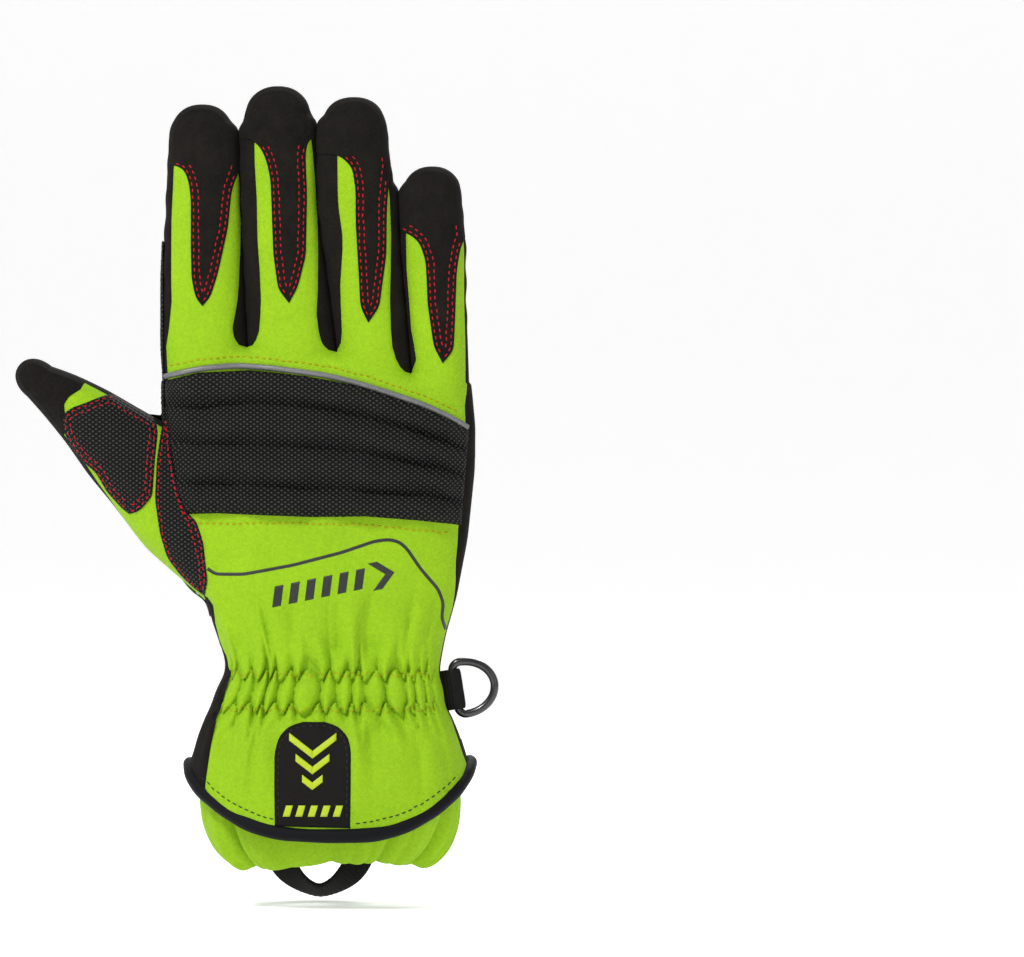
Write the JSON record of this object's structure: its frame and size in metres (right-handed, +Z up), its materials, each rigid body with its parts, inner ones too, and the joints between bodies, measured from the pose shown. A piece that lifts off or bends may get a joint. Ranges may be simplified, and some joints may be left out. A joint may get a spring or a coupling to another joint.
{
  "type": "rescue glove",
  "caption": "Right-hand rescue glove with a hi-vis back, black suede palm, ribbed knuckle guard, gathered wrist, bound cuff, D-ring and pull loop.",
  "frame": {"origin": "middle of the wrist, on the elastic gathers", "axes": "+Z up along the fingers, -Y the back of the hand, +Y the palm, -X the thumb side"},
  "size_m": [0.1757, 0.0696, 0.2973],
  "materials": {
    "hi_vis_cloth": "matte stretch cloth",
    "black_suede": "napped suede",
    "woven_patch": "coarse hard-wearing weave",
    "grip_print": "printed grip on suede",
    "reflective": "reflective piping",
    "black_binding": "smooth knit binding",
    "webbing": "ribbed webbing",
    "coated_metal": "black gloss coat"
  },
  "bodies": {
    "glove": {"back_panel": "hi_vis_cloth", "palm_panel": "black_suede", "fourchette_index_middle": "black_suede", "fourchette_middle_ring": "black_suede", "fourchette_ring_little": "black_suede", "thumb_back": "hi_vis_cloth", "thumb_side": "black_suede", "finger_cap_index": "black_suede", "finger_cap_middle": "black_suede", "finger_cap_ring": "black_suede", "finger_cap_little": "black_suede", "thumb_cap": "black_suede", "grip_tip_index": "grip_print", "grip_tip_middle": "grip_print", "grip_tip_ring": "grip_print", "grip_tip_little": "grip_print", "grip_tip_thumb": "grip_print", "knuckle_pad": "woven_patch", "reflective_piping": "reflective", "index_guard": "woven_patch", "thumb_patch": "woven_patch", "palm_patch": "woven_patch", "heel_patch_outer": "woven_patch", "heel_patch_inner": "woven_patch", "cuff_label": "black_binding", "cuff_binding": "black_binding", "inner_cuff": "hi_vis_cloth", "ring_tab": "webbing", "pull_loop": "webbing"},
    "ring": {"d_ring": "coated_metal"}
  },
  "joints": [
    {"name": "ring_swing", "type": "hinge", "parent": "glove", "child": "ring", "pos_m": [0.0444, -0.002, 0.0004], "axis": [-0.1564, 0, 0.9877], "range_deg": [-95, 95]}
  ]
}
